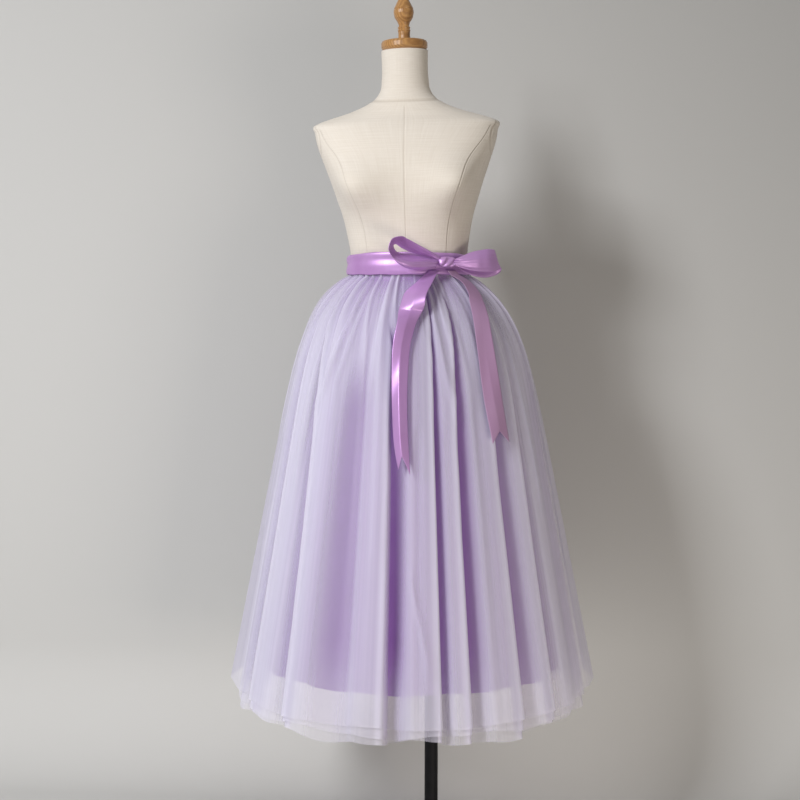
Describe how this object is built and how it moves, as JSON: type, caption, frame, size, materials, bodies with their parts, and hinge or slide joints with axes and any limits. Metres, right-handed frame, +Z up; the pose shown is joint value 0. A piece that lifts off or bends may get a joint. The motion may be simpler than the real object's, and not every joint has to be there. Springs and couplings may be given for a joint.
{
  "type": "tulle skirt on a dress form",
  "caption": "Gathered midi tulle skirt over a satin lining, with a tied satin sash, worn on a limbless linen dress form with a turned wooden neck cap on a pole and round base.",
  "frame": {"origin": "centre of the underside of the stand's round base, on the floor and on the pole's axis", "axes": "+Z up along the pole; the garment's front faces -Y; +X is the wearer's left"},
  "size_m": [0.7216, 0.6492, 1.7044],
  "materials": {
    "black_steel": "satin black powder coat",
    "linen": "cream linen cover, matt, plain weave",
    "turned_wood": "golden brown turned wood, satin lacquer",
    "lilac_satin": "purple satin lining, soft sheen",
    "purple_satin": "purple satin ribbon, bright sheen",
    "white_tulle": "pale lilac-white soft tulle, sheer net"
  },
  "bodies": {
    "root": {"stand_base": "black_steel", "stand_pole": "black_steel", "form_body": "linen", "neck_cap": "turned_wood", "neck_finial": "turned_wood", "lining": "lilac_satin", "tulle_inner": "white_tulle", "tulle_middle": "white_tulle", "tulle_outer": "white_tulle", "sash_band": "purple_satin", "bow_knot": "purple_satin", "bow_loop_left": "purple_satin", "bow_loop_right": "purple_satin", "sash_tail_left": "purple_satin", "sash_tail_right": "purple_satin"}
  },
  "joints": []
}
